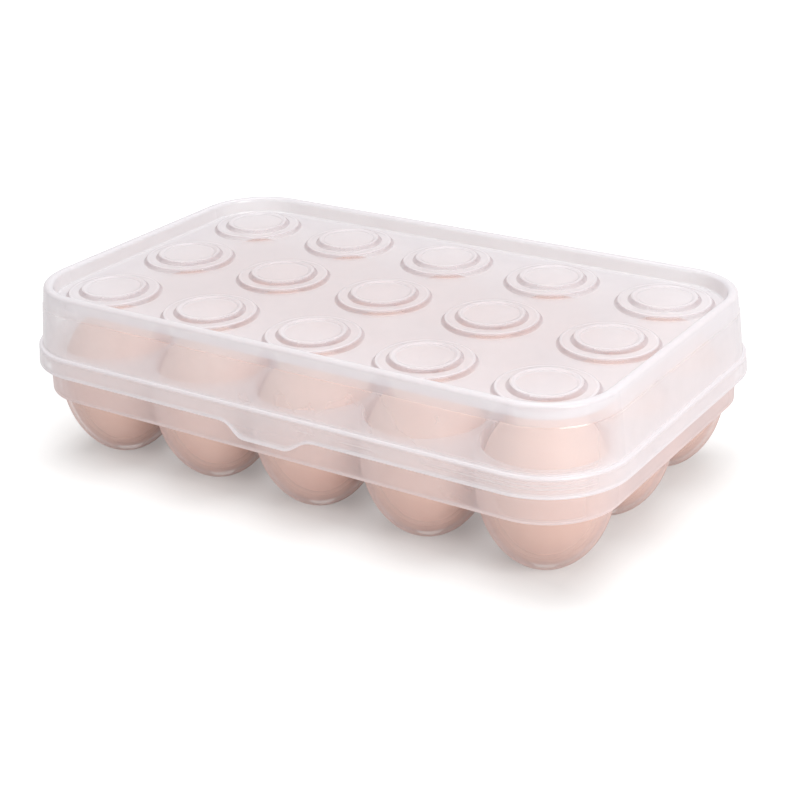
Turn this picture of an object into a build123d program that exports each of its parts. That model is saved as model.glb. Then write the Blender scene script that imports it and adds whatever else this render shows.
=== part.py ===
from build123d import *
import os

# A covered egg box: a thin tray whose cups hang from a flat deck, a thin lid that drops over its rim, and the eggs.
# Millimetres. +X runs along the box, the front is towards -Y, and the origin is on the table at the middle of the box.

# Eggs, each standing on its pointed end
COLUMNS = 5
ROWS = ("front", "middle", "back")
EGG_RADIUS = 21.9
EGG_POINT = 31.0  # from the widest level down to the pointed end
EGG_CROWN = 26.0  # from the widest level up to the blunt end
EGG_SPACING_X = 3.2  # clear space between neighbouring eggs
EGG_SPACING_Y = 1.35
OVAL = 0.56  # reach of a quarter oval's control points, a little more than the 0.5523 of an ellipse

# Cups
CUP_GAP = 0.3  # egg to cup wall at the widest level
SEAT_GAP = 0.3  # egg's point to cup floor
CUP_WALL = 1.6
CUP_FLOOR = 1.2
FOOT_CUT = 0.6  # height of the round bottom that the flat foot takes off
CUP_RISE = 13.5  # from the widest level up to the tray's rim

# Tray deck, lip and apron
TRAY_WALL = 1.2
LIP_DROP = 3.6  # height of the lip that the lid's skirt goes over
LIP_WIDTH = 2.2  # from the apron's face out to the lip's
LIP_SLOPE = 1.4  # height over which the lip runs in to the apron
LIP_ROUND = 0.5
APRON_DROP = 17.6
APRON_FLARE = 0.2
FLANGE_ROUND = 0.3

# Plan of the side wall
EDGE_MARGIN = 4.4  # outermost eggs to the lid's outer face
FLANGE_WIDTH = 7.0  # of the border that is carried round the plan with the walls

# Lid
LID_WALL = 1.0
HEADROOM = 4.8  # egg crown to the panel's underside
BEAD_RISE = 6.0
BEAD_WIDTH = 3.5
BEAD_FLAT = 0.3  # left at the crest between the bead's two rounds
BEAD_SLOPE = 0.7  # inward lean of the bead's inner wall
STEP_DROP = 1.6  # from the panel's top down to the step line
STEP_HEIGHT = 0.5
STEP_OUT = 0.3
DRAFT_ABOVE_STEP = 0.9
DRAFT_BELOW_STEP = 1.6
LEDGE_WIDTH = 1.4
LEDGE_ROUND = 0.75
SKIRT_GAP = 0.5  # lid skirt to tray lip
SKIRT_DROP = 7.3
SKIRT_FLARE = 0.6
FINE_ROUND = 0.2

# Thumb tabs
TAB_WIDTH = 40.0
TAB_END = 12.0
TAB_DROP = 4.5
TAB_FLARE = 1.6
TAB_ROOT = 1.0  # height over which the tab runs up into the skirt
TAB_BEND = 3.0

# Bosses over the cups
BOSS_RADIUS = 18.5
BOSS_STEP_RADIUS = 13.5
BOSS_STEP_HEIGHT = 1.5
BOSS_CREST_RADIUS = 11.2
BOSS_HEIGHT = 3.0
BOSS_DISH = 0.5
BOSS_SLOPE = 1.3  # horizontal run of each boss wall
BOSS_ROUND = 0.5

# What follows from them
PITCH_X = 2 * EGG_RADIUS + EGG_SPACING_X
PITCH_Y = 2 * EGG_RADIUS + EGG_SPACING_Y
CENTRES = [
    (row, column + 1, (column - (COLUMNS - 1) / 2) * PITCH_X, (index - (len(ROWS) - 1) / 2) * PITCH_Y)
    for index, row in enumerate(ROWS)
    for column in range(COLUMNS)
]
CORNER_RADIUS = EGG_RADIUS + EDGE_MARGIN
RUN_X = (COLUMNS - 1) / 2 * PITCH_X
RUN_Y = (len(ROWS) - 1) / 2 * PITCH_Y
HALF_LENGTH = RUN_X + CORNER_RADIUS
HALF_WIDTH = RUN_Y + CORNER_RADIUS

WIDEST_Z = CUP_FLOOR + SEAT_GAP + EGG_POINT
RIM_Z = WIDEST_Z + CUP_RISE
APRON_Z = RIM_Z - APRON_DROP
LEDGE_Z = RIM_Z + LID_WALL
SKIRT_Z = LEDGE_Z - SKIRT_DROP
PANEL_Z = WIDEST_Z + EGG_CROWN + HEADROOM + LID_WALL
STEP_Z = PANEL_Z - STEP_DROP

WALL_FOOT = DRAFT_ABOVE_STEP + STEP_OUT + DRAFT_BELOW_STEP  # offset of the lid's wall where it meets the ledge
LEDGE_EDGE = WALL_FOOT + LEDGE_WIDTH
BEAD_ROUND = (BEAD_WIDTH - BEAD_FLAT) / 2
LIP_FACE = LEDGE_EDGE - LID_WALL - SKIRT_GAP
APRON_FACE = LIP_FACE - LIP_WIDTH


def parallel(corners, distance):
    """Corners of the line that runs at a distance to the right of an open line of corners."""
    points = [Vector(x, y) for x, y in corners]
    normals = []
    for start, end in zip(points, points[1:]):
        along = (end - start).normalized()
        normals.append(Vector(along.Y, -along.X))
    befores, afters = normals[:1] + normals, normals + normals[-1:]
    shifts = [(a + b) * (distance / (1 + a.dot(b))) for a, b in zip(befores, afters)]
    return [((p + s).X, (p + s).Y) for p, s in zip(points, shifts)]


def wall_face(corners, thickness):
    """Section of a wall whose outer line is given as (offset, height, outer round, inner round) corners."""
    outer = [(x, y) for x, y, _, _ in corners]
    inner = parallel(outer, thickness)[::-1]
    rounds = [r for _, _, r, _ in corners] + [r for _, _, _, r in corners[::-1]]
    return make_face(FilletPolyline(*outer, *inner, radius=rounds, close=True))


def carried_round(section):
    """Solid of a section, drawn with x outward from the plan's edge and y up, carried once round the plan."""
    end = Plane(origin=(HALF_LENGTH, RUN_Y, 0), x_dir=(1, 0, 0), z_dir=(0, -1, 0)) * section
    side = Plane(origin=(-RUN_X, HALF_WIDTH, 0), x_dir=(0, 1, 0), z_dir=(1, 0, 0)) * section
    half = [
        extrude(end, 2 * RUN_Y),
        extrude(side, 2 * RUN_X),
        revolve(end, Axis((RUN_X, RUN_Y, 0), (0, 0, 1)), 90),
        revolve(side, Axis((-RUN_X, RUN_Y, 0), (0, 0, 1)), 90),
    ]
    return Part() + half + [Rot(0, 0, 180) * piece for piece in half]


def border_plate(top, thickness):
    """Flat plate that fills the plan inside the border carried round it."""
    plan = RectangleRounded(
        2 * (HALF_LENGTH - FLANGE_WIDTH), 2 * (HALF_WIDTH - FLANGE_WIDTH), CORNER_RADIUS - FLANGE_WIDTH
    )
    return extrude(Pos(0, 0, top - thickness) * plan, thickness)


def turned(section):
    """Solid of revolution about Z of a section of radius and height."""
    return revolve(Plane.XZ * section, Axis.Z)


def at_centres(solid):
    return [Pos(x, y, 0) * solid for _, _, x, y in CENTRES]


def oval(radius, height):
    """Quarter oval from the axis, at a height above the widest level or below it, out to the widest level."""
    tip = WIDEST_Z + height
    return Bezier((0, tip), (OVAL * radius, tip), (radius, WIDEST_Z + OVAL * height), (radius, WIDEST_Z))


def cup(radius, depth, bottom, top):
    """Solid with an oval bottom below the widest level, cut flat at the bottom, and straight sides above."""
    sides = Polyline((radius, WIDEST_Z), (radius, top), (0, top), (0, WIDEST_Z - depth))
    above = Pos(0, bottom) * Rectangle(radius, top - bottom, align=Align.MIN)
    return turned(make_face([oval(radius, -depth), sides]) & above)


def make_tray():
    cup_radius = EGG_RADIUS + CUP_GAP
    bowl_depth = EGG_POINT + SEAT_GAP
    border = [
        (-FLANGE_WIDTH, RIM_Z, 0, 0),
        (LIP_FACE, RIM_Z, FLANGE_ROUND, 0),
        (LIP_FACE, RIM_Z - LIP_DROP, LIP_ROUND, LIP_ROUND),
        (APRON_FACE, RIM_Z - LIP_DROP - LIP_SLOPE, LIP_ROUND, LIP_ROUND),
        (APRON_FACE + APRON_FLARE, APRON_Z, FLANGE_ROUND, FLANGE_ROUND),
    ]
    shell = carried_round(wall_face(border, TRAY_WALL)) + border_plate(RIM_Z, TRAY_WALL)
    shell += at_centres(cup(cup_radius + CUP_WALL, WIDEST_Z + FOOT_CUT, 0, RIM_Z))
    return shell - at_centres(cup(cup_radius, bowl_depth, WIDEST_Z - bowl_depth, RIM_Z + TRAY_WALL))


def boss(inset, drop):
    """Stepped round boss on the panel, every radius less the inset and every level less the drop."""
    corners = [
        (BOSS_RADIUS + BOSS_ROUND, 0, 0),
        (BOSS_RADIUS, 0, BOSS_ROUND),
        (BOSS_RADIUS - BOSS_SLOPE, BOSS_STEP_HEIGHT, BOSS_ROUND),
        (BOSS_STEP_RADIUS, BOSS_STEP_HEIGHT, BOSS_ROUND),
        (BOSS_STEP_RADIUS - BOSS_SLOPE, BOSS_HEIGHT, BOSS_ROUND),
        (BOSS_CREST_RADIUS, BOSS_HEIGHT, BOSS_ROUND),
        (BOSS_CREST_RADIUS - BOSS_SLOPE, BOSS_HEIGHT - BOSS_DISH, BOSS_ROUND),
        (0, BOSS_HEIGHT - BOSS_DISH, 0),
    ]
    profile = [(max(radius - inset, 0), PANEL_Z - drop + height) for radius, height, _ in corners]
    base = PANEL_Z - drop - LID_WALL
    rounds = [r for _, _, r in corners] + [0, 0]
    outline = FilletPolyline(*profile, (0, base), (profile[0][0], base), radius=rounds, close=True)
    return turned(make_face(outline))


def tab():
    """Thumb tab at the middle of the back: the skirt's wall, bent outward and down between two S-shaped ends."""
    root = SKIRT_Z + TAB_ROOT
    slope = SKIRT_FLARE / SKIRT_DROP
    skirt_edge = LEDGE_EDGE + SKIRT_FLARE
    line = [
        (skirt_edge - slope * TAB_ROOT, root, 0, 0),
        (skirt_edge, SKIRT_Z, TAB_BEND, TAB_BEND + LID_WALL),
        (skirt_edge + TAB_FLARE, SKIRT_Z - TAB_DROP, FINE_ROUND, FINE_ROUND),
    ]
    back = Plane(origin=(-TAB_WIDTH / 2, HALF_WIDTH, 0), x_dir=(0, 1, 0), z_dir=(1, 0, 0))
    strip = extrude(back * wall_face(line, LID_WALL), TAB_WIDTH)
    half, low = TAB_WIDTH / 2, SKIRT_Z - TAB_DROP
    level = ((1, 0), (1, 0))
    outline = [
        Spline((-half, SKIRT_Z), (-half + TAB_END, low), tangents=level),
        Line((-half + TAB_END, low), (half - TAB_END, low)),
        Spline((half - TAB_END, low), (half, SKIRT_Z), tangents=level),
        Polyline((half, SKIRT_Z), (half, root + LID_WALL), (-half, root + LID_WALL), (-half, SKIRT_Z)),
    ]
    return strip & extrude(Plane.XZ * make_face(outline), -2 * HALF_WIDTH)


def make_lid():
    border = [
        (-FLANGE_WIDTH, PANEL_Z, 0, 0),
        (-BEAD_WIDTH - BEAD_SLOPE, PANEL_Z, BEAD_ROUND / 2, BEAD_ROUND / 2 + LID_WALL),
        (-BEAD_WIDTH, PANEL_Z + BEAD_RISE, BEAD_ROUND, BEAD_ROUND - LID_WALL),
        (0, PANEL_Z + BEAD_RISE, BEAD_ROUND, BEAD_ROUND - LID_WALL),
        (DRAFT_ABOVE_STEP, STEP_Z + STEP_HEIGHT, FINE_ROUND, FINE_ROUND),
        (DRAFT_ABOVE_STEP + STEP_OUT, STEP_Z, FINE_ROUND, FINE_ROUND),
        (WALL_FOOT, LEDGE_Z, 2 * FINE_ROUND, FINE_ROUND),
        (LEDGE_EDGE, LEDGE_Z, LEDGE_ROUND, FINE_ROUND),
        (LEDGE_EDGE + SKIRT_FLARE, SKIRT_Z, FLANGE_ROUND, FLANGE_ROUND),
    ]
    shell = carried_round(wall_face(border, LID_WALL))
    panel = border_plate(PANEL_Z, LID_WALL) + at_centres(boss(0, 0)) - at_centres(boss(LID_WALL, LID_WALL))
    return shell + panel + tab() + Rot(0, 0, 180) * tab()


def make_egg():
    axis = Line((0, WIDEST_Z - EGG_POINT), (0, WIDEST_Z + EGG_CROWN))
    return turned(make_face([oval(EGG_RADIUS, -EGG_POINT), oval(EGG_RADIUS, EGG_CROWN), axis]))


os.makedirs("parts", exist_ok=True)
export_step(make_tray(), "parts/tray.step")
export_step(make_lid(), "parts/lid.step")
egg = make_egg()
for row, number, x, y in CENTRES:
    export_step(Pos(x, y, 0) * egg, f"parts/egg_{row}_{number}.step")
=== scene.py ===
"""Looks of the lidded egg box: frosted plastic mouldings, the eggs inside, and a white table under soft light."""

import functools
import math

import bpy
from mathutils import Matrix, Vector


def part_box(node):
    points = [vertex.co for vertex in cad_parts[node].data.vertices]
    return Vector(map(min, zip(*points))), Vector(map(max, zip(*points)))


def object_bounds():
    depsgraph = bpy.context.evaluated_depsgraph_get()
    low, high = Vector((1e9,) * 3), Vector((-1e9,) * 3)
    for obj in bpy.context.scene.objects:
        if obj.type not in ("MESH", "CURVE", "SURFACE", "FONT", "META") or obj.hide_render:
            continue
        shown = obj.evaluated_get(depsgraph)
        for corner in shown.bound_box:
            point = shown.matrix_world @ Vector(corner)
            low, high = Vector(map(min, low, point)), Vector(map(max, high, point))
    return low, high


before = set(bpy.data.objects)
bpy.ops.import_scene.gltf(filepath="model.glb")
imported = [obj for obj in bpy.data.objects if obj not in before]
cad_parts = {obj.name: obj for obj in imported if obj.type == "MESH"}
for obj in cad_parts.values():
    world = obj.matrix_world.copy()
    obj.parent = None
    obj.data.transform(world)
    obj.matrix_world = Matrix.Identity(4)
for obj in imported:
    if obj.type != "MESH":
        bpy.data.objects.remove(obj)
cad_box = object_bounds()

MM = 0.001

# Levels of the box
RIM_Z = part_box("tray")[1][2]
APRON_EDGE_Z = RIM_Z - 17.6 * MM
BELOW_RIM_Z = RIM_Z - 3.0 * MM  # where the cups' warm tint is full
LEDGE_Z = RIM_Z + 1.0 * MM
SKIRT_EDGE_Z = LEDGE_Z - 7.3 * MM
TAB_EDGE_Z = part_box("lid")[0][2]
CREST_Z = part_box("lid")[1][2]
PANEL_Z = CREST_Z - 6.0 * MM
UNDER_PANEL_Z = PANEL_Z - 1.3 * MM  # just below the panel's lower face
ABOVE_PANEL_Z = PANEL_Z + 0.9 * MM  # just above its upper face

# Thumb tab: half its flat edge, and the run over which the edge rises to the skirt's
TAB_FLAT, TAB_END = 8.0 * MM, 12.0 * MM

# Cups and bosses, which share their axes
PITCH_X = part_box("egg_front_2")[0][0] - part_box("egg_front_1")[0][0]
PITCH_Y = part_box("egg_middle_1")[0][1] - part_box("egg_front_1")[0][1]
CUP_REACH = 24.5 * MM  # from a cup's axis to just past its outer wall
BOSS_REACH = 19.0 * MM  # from a boss's axis to just past its foot
INNER_RING, OUTER_RING = 11.0 * MM, 16.9 * MM  # radii of the crests of a boss's two steps
STEEP = 0.97  # upward part of a face's normal below which the face counts as steep
FOOT_X, FOOT_Y = 2 * PITCH_X + 12 * MM, PITCH_Y + 12 * MM  # half the outline of the cups' feet

# Frosted plastic
GRAZING = 0.06  # added to the cosine that a face is seen at, so that its haze stays finite
PASSED = 0.92  # share of the light that a face lets on to what is behind it
HEAD_ON = 0.035  # share that a face mirrors when it is seen square on
PANEL_HAZE, APRON_HAZE = 0.12, 0.12  # extra milkiness of the lid's panel and of the tray's apron

# Extra brightness of the table where it is seen: under the box, beside it and far from it, kept lowest under the
# box and near it, which paints shade around the box
UNDER_LIFT, BESIDE_LIFT, FAR_LIFT = 0.20, 0.54, 0.75
BESIDE_RUN, FAR_START, FAR_RUN = 0.035, 0.08, 0.3
TABLE_HALF = 4.0
FILL = 0.47  # brightness of the surroundings as light

# Camera, as a turn about the box, a height, a roll and a distance from the point it looks at
AZIMUTH, ELEVATION, ROLL = math.radians(33.83), math.radians(24.0), math.radians(-1.8)
AIM = Vector((-87.7, 139.7, -51.2)) * MM
DISTANCE = 829.5 * MM
LENS = 75.7

LAMP_AIM = Vector((0.0, 0.0, 0.03))


# ---------------------------------------------------------------- node expressions


class Value:
    """A socket on its way through a material's nodes; arithmetic on it adds Math nodes."""

    def __init__(self, finish, socket):
        self.finish, self.socket = finish, socket

    def math(self, operation, first, second=0.0):
        return self.finish.node("ShaderNodeMath", {0: first, 1: second}, operation=operation)

    def __add__(self, other):
        return self.math("ADD", self, other)

    def __sub__(self, other):
        return self.math("SUBTRACT", self, other)

    def __rsub__(self, other):
        return self.math("SUBTRACT", other, self)

    def __mul__(self, other):
        return self.math("MULTIPLY", self, other)

    def __truediv__(self, other):
        return self.math("DIVIDE", self, other)

    def __mod__(self, other):
        return self.math("FLOORED_MODULO", self, other)

    def __pow__(self, other):
        return self.math("POWER", self, other)

    def __rpow__(self, other):
        return self.math("POWER", other, self)

    def __neg__(self):
        return self * -1.0

    def __abs__(self):
        return self.math("ABSOLUTE", self)

    __radd__, __rmul__ = __add__, __mul__

    def clamped(self):
        """The value, held between 0 and 1."""
        lifted = self.math("MAXIMUM", self, 0.0)
        return lifted.math("MINIMUM", lifted, 1.0)

    def ramp(self, run):
        """0 up to a value of 0, then rising in a straight line to 1 over this run."""
        return (self / run).clamped()

    def line(self, width):
        """1 where the value is 0, fading as a bell curve of this half-width."""
        return math.e ** -((self / width) ** 2)


class Finish:
    """A material under construction."""

    def __init__(self, name):
        self.material = bpy.data.materials.new(name)
        self.material.use_nodes = True
        self.tree = self.material.node_tree
        self.tree.nodes.clear()

    def node(self, kind, inputs=None, output=0, **settings):
        """Adds a node, makes its settings, then sets or links its inputs, and returns one output."""
        node = self.tree.nodes.new(kind)
        for name, setting in settings.items():
            setattr(node, name, setting)
        for name, value in (inputs or {}).items():
            if isinstance(value, Value):
                self.tree.links.new(value.socket, node.inputs[name])
            else:
                node.inputs[name].default_value = value
        return Value(self, node.outputs[output])

    def place(self):
        return self.node("ShaderNodeTexCoord", output="Object")

    def axes(self):
        """X, Y and Z of the place, each as a value."""
        inputs = {"Vector": self.place()}
        return [self.node("ShaderNodeSeparateXYZ", inputs, output=axis) for axis in "XYZ"]

    def upward(self):
        """Upward part of the face's normal."""
        normal = self.node("ShaderNodeNewGeometry", output="Normal")
        return self.node("ShaderNodeSeparateXYZ", {"Vector": normal}, output="Z")

    def noise(self, scale, detail):
        return self.node("ShaderNodeTexNoise", {"Vector": self.place(), "Scale": scale, "Detail": detail})

    def bump(self, height, distance, strength):
        return self.node("ShaderNodeBump", {"Height": height, "Distance": distance, "Strength": strength})

    def mix_colours(self, factor, first, second):
        """Mixes two colours, which a Mix node takes in its sockets 6 and 7."""
        return self.node("ShaderNodeMix", {0: factor, 6: first, 7: second}, output=2, data_type="RGBA")

    def mix_shaders(self, factor, first, second):
        return self.node("ShaderNodeMixShader", {0: factor, 1: first, 2: second})

    def done(self, surface):
        output = self.tree.nodes.new("ShaderNodeOutputMaterial")
        self.tree.links.new(surface.socket, output.inputs["Surface"])
        return self.material


def from_cup_axis(finish):
    """Distance from the axis of the nearest cup: each of X and Y is wrapped to within half a pitch of 0."""
    x, y, _ = finish.axes()
    wrapped = [(v + pitch / 2) % pitch - pitch / 2 for v, pitch in ((x, PITCH_X), (y, PITCH_Y))]
    return (wrapped[0] ** 2 + wrapped[1] ** 2) ** 0.5


def outside(finish, half_x, half_y):
    """Distance beyond a rectangle about the origin, and 0 inside it."""
    x, y, _ = finish.axes()
    beyond = [(abs(v) - half).clamped() for v, half in ((x, half_x), (y, half_y))]
    return (beyond[0] ** 2 + beyond[1] ** 2) ** 0.5


def either(finish, *kinds):
    """1 where a ray is of one of these kinds, and 0 elsewhere."""
    rays = [finish.node("ShaderNodeLightPath", output=f"Is {kind} Ray") for kind in kinds]
    return functools.reduce(lambda first, second: first.math("MAXIMUM", first, second), rays)


# ---------------------------------------------------------------- materials


def lid_colour_and_painted_shade(finish):
    """Lilac white, with painted shade that makes the steep walls of the bosses greyer all round."""
    _, _, z = finish.axes()
    steep = (STEEP - abs(finish.upward())).ramp(0.2)
    on_boss = (z - UNDER_PANEL_Z).ramp(0.2 * MM) * (BOSS_REACH - from_cup_axis(finish)).ramp(1.0 * MM)
    # Painted shade: the steep boss walls take a darker grey-lilac colour where the plastic would look shaded.
    return finish.mix_colours(steep * on_boss, (0.94, 0.92, 0.96, 1.0), (0.64, 0.58, 0.62, 1.0))


def lid_haze_and_highlight_lines(finish):
    """How much milkier the lid is on its panel, and in thin whiter lines at its edges (skirt, tabs, ledge, bead
    and bosses' crests), which are partly thicker haze and partly painted highlights.
    """
    x, _, z = finish.axes()
    rise = (abs(x) - TAB_FLAT).ramp(TAB_END)
    lower_edge = TAB_EDGE_Z + (SKIRT_EDGE_Z - TAB_EDGE_Z) * rise * rise * (3.0 - 2.0 * rise)
    skirt = (z - lower_edge - 0.3 * MM).line(0.7 * MM)
    ledge = (z - LEDGE_Z + 0.4 * MM).line(0.5 * MM)
    crest = (z - CREST_Z).line(0.8 * MM)
    radius = from_cup_axis(finish)
    rings = (radius - INNER_RING).line(0.45 * MM) + 0.8 * (radius - OUTER_RING).line(0.4 * MM)
    on_boss = (z - ABOVE_PANEL_Z).ramp(0.3 * MM)
    on_panel = (z - UNDER_PANEL_Z).ramp(0.2 * MM)
    # The edge and ring lines are partly thicker haze and partly painted highlight.
    return skirt + 0.8 * ledge + 0.6 * crest + 1.2 * rings * on_boss + PANEL_HAZE * on_panel


def on_apron(finish):
    """1 outside the cups, where the apron runs round them."""
    return (outside(finish, 2 * PITCH_X, PITCH_Y) - CUP_REACH).ramp(0.5 * MM)


def tray_colour_and_painted_egg_glow(finish):
    """Lilac white, with a painted warm, darker tint in the cups that stands in for the eggs' colour glowing
    through their walls and for their shade.
    """
    _, _, z = finish.axes()
    painted_egg_glow = (BELOW_RIM_Z - z).ramp(2.0 * MM) * (1.0 - on_apron(finish))
    # Painted light: the warm tint in the cups stands in for light from the eggs seen through the walls and for
    # shade on the cups.
    return finish.mix_colours(painted_egg_glow, (0.95, 0.91, 0.945, 1.0), (0.88, 0.71, 0.68, 1.0))


def tray_haze_and_highlight_line(finish):
    """How much milkier the tray is on its apron, and most at the apron's lower edge, where the thin whiter line
    is partly thicker haze and partly a painted highlight.
    """
    _, _, z = finish.axes()
    # The line at the apron's lower edge is partly thicker haze and partly painted highlight.
    return (APRON_HAZE + (z - APRON_EDGE_Z - 0.3 * MM).line(0.6 * MM)) * on_apron(finish)


def frosted_plastic(name, colour_of, glow, haze, steepness, edges, through, edge_on, roughness):
    """Clear plastic with a milky haze that thickens where the wall is seen edge-on, under a soft gloss.

    A face covers 1 - e^(-haze / cosine^steepness) of what is behind it, mirrors up to edge_on of what is in
    front of it, and lets most light on through. Of the haze, the share through glows with light from behind.
    """
    finish = Finish(name)
    waviness = finish.noise(24.0, 1.0)
    grain = finish.noise(1500.0, 2.0)
    normal = finish.bump(waviness * 0.8 + grain * 0.02, 0.5 * MM, 0.4)
    facing = finish.node("ShaderNodeLayerWeight", {"Blend": 0.5, "Normal": normal}, output="Facing")
    cosine = 1.0 - facing
    # Haze, plus the edges' thin whiter lines, which are partly thicker haze and partly painted highlight.
    haze_with_painted_lines = haze * (0.8 + 0.4 * finish.noise(55.0, 3.0)) + edges(finish)
    cover = 1.0 - math.e ** -(haze_with_painted_lines / (cosine + GRAZING) ** steepness)
    front = finish.node(
        "ShaderNodeBsdfPrincipled",
        {"Base Color": colour_of(finish), "Roughness": 0.6, "Specular IOR Level": 0.0, "Normal": normal},
    )
    behind = finish.node("ShaderNodeBsdfTranslucent", {"Color": glow, "Normal": normal})
    milk = finish.mix_shaders(through, front, behind)
    clear = finish.node("ShaderNodeBsdfTransparent", {"Color": (1.0, 1.0, 1.0, 1.0)})
    gloss = finish.node("ShaderNodeBsdfGlossy", {"Roughness": roughness, "Normal": normal})
    sheen = HEAD_ON + (edge_on - HEAD_ON) * (1.0 - cosine) ** 5
    seen = finish.mix_shaders(sheen, finish.mix_shaders(cover, clear, milk), gloss)
    lighting = either(finish, "Shadow", "Diffuse")
    return finish.done(finish.mix_shaders(lighting * PASSED, seen, clear))


def eggshell(name):
    """Matt pinkish-beige shell with cloudy colour, faint freckles and fine pores."""
    finish = Finish(name)
    clouds = finish.noise(45.0, 3.0)
    colour = finish.mix_colours(clouds, (0.80, 0.56, 0.47, 1.0), (0.71, 0.43, 0.355, 1.0))
    freckles = finish.noise(900.0, 2.0)
    pores = finish.noise(2600.0, 1.0)
    normal = finish.bump(pores + freckles * 0.5, 0.12 * MM, 0.5)
    shell = finish.node(
        "ShaderNodeBsdfPrincipled",
        {"Base Color": colour, "Roughness": 0.5, "Normal": normal, "Specular IOR Level": 0.35},
    )
    return finish.done(shell)


def table_with_painted_shade():
    """Pale matt table, lifted towards white where a ray from the camera, a gloss or a clear wall meets it, least
    under the box and more with distance from its feet, which paints shade around the box.
    """
    finish = Finish("table_with_painted_shade")
    diffuse = finish.node("ShaderNodeBsdfDiffuse", {"Color": (0.66, 0.66, 0.66, 1.0)})
    # Painted shade: the lift is smallest under the box and grows with distance from the cups' feet.
    distance = outside(finish, FOOT_X, FOOT_Y)
    beside = distance.ramp(BESIDE_RUN) * (BESIDE_LIFT - UNDER_LIFT)
    far = (distance - FAR_START).ramp(FAR_RUN) * (FAR_LIFT - BESIDE_LIFT)
    seen = either(finish, "Camera", "Glossy", "Transmission")
    dark, white = (finish.node("ShaderNodeEmission", {"Strength": strength}) for strength in (0.0, 1.0))
    lift = finish.mix_shaders(seen * (UNDER_LIFT + beside + far), dark, white)
    return finish.done(finish.node("ShaderNodeAddShader", {0: diffuse, 1: lift}))


# ---------------------------------------------------------------- stage


def make_floor():
    """Large square table under the box, which keeps the box's shadow."""
    corners = [(x * TABLE_HALF, y * TABLE_HALF, 0) for x, y in ((-1, -1), (1, -1), (1, 1), (-1, 1))]
    mesh = bpy.data.meshes.new("table")
    mesh.from_pydata(corners, [], [(0, 1, 2, 3)])
    mesh.materials.append(table_with_painted_shade())
    floor = bpy.data.objects.new("table", mesh)
    floor.location.z = cad_box[0][2]
    bpy.context.scene.collection.objects.link(floor)


def make_world():
    """White surroundings: full white where seen, and a plain soft fill as light."""
    world = bpy.data.worlds.new("studio")
    bpy.context.scene.world = world
    world.use_nodes = True
    nodes, links = world.node_tree.nodes, world.node_tree.links
    nodes.clear()
    rays = nodes.new("ShaderNodeLightPath")
    seen = nodes.new("ShaderNodeMath")
    seen.operation = "MAXIMUM"
    links.new(rays.outputs["Is Camera Ray"], seen.inputs[0])
    links.new(rays.outputs["Is Glossy Ray"], seen.inputs[1])
    strength = nodes.new("ShaderNodeMath")
    strength.operation = "MULTIPLY_ADD"
    links.new(seen.outputs[0], strength.inputs[0])
    strength.inputs[1].default_value = 1.0 - FILL
    strength.inputs[2].default_value = FILL
    background = nodes.new("ShaderNodeBackground")
    background.inputs["Color"].default_value = (1.0, 1.0, 1.0, 1.0)
    links.new(strength.outputs[0], background.inputs["Strength"])
    output = nodes.new("ShaderNodeOutputWorld")
    links.new(background.outputs[0], output.inputs["Surface"])


def make_lamp(name, place, size, power):
    """Round soft lamp, turned towards the box."""
    light = bpy.data.lights.new(name, "AREA")
    light.shape, light.size, light.energy = "DISK", size, power
    lamp = bpy.data.objects.new(name, light)
    lamp.location = place
    lamp.rotation_euler = (LAMP_AIM - Vector(place)).to_track_quat("-Z", "Y").to_euler()
    bpy.context.scene.collection.objects.link(lamp)


def make_camera():
    """Camera on a sphere about the aim, level with the horizon but for the roll."""
    back = Vector((
        math.sin(AZIMUTH) * math.cos(ELEVATION),
        -math.cos(AZIMUTH) * math.cos(ELEVATION),
        math.sin(ELEVATION),
    ))
    level = Vector((0, 0, 1)).cross(back).normalized()
    upright = back.cross(level)
    right = level * math.cos(ROLL) + upright * math.sin(ROLL)
    turn = Matrix((right, back.cross(right), back)).transposed()
    data = bpy.data.cameras.new("camera")
    data.lens, data.clip_start, data.clip_end = LENS, 0.01, 20.0
    camera = bpy.data.objects.new("camera", data)
    camera.matrix_world = Matrix.Translation(AIM + back * DISTANCE) @ turn.to_4x4()
    bpy.context.scene.collection.objects.link(camera)
    bpy.context.scene.camera = camera


# ---------------------------------------------------------------- make it all

lid_finish = frosted_plastic(
    "lid_plastic", lid_colour_and_painted_shade, glow=(0.93, 0.905, 0.945, 1.0), haze=0.24, steepness=1.5,
    edges=lid_haze_and_highlight_lines, through=0.35, edge_on=0.6, roughness=0.12,
)
tray_finish = frosted_plastic(
    "tray_plastic", tray_colour_and_painted_egg_glow, glow=(0.90, 0.79, 0.78, 1.0), haze=0.11, steepness=2.0,
    edges=tray_haze_and_highlight_line, through=0.6, edge_on=0.3, roughness=0.18,
)
shell_finish = eggshell("eggshell")
for name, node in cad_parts.items():
    node.data.materials.clear()
    node.data.materials.append({"lid": lid_finish, "tray": tray_finish}.get(name, shell_finish))

make_floor()
make_world()
make_lamp("key", (0.80, -0.32, 0.52), size=0.6, power=5.2)
make_lamp("sky", (-0.15, 0.35, 1.3), size=1.0, power=6.0)
make_lamp("front", (-0.25, -1.1, 0.75), size=0.9, power=2.3)
make_camera()

scene = bpy.context.scene
scene.view_settings.view_transform = "Standard"
scene.cycles.transparent_max_bounces = 32
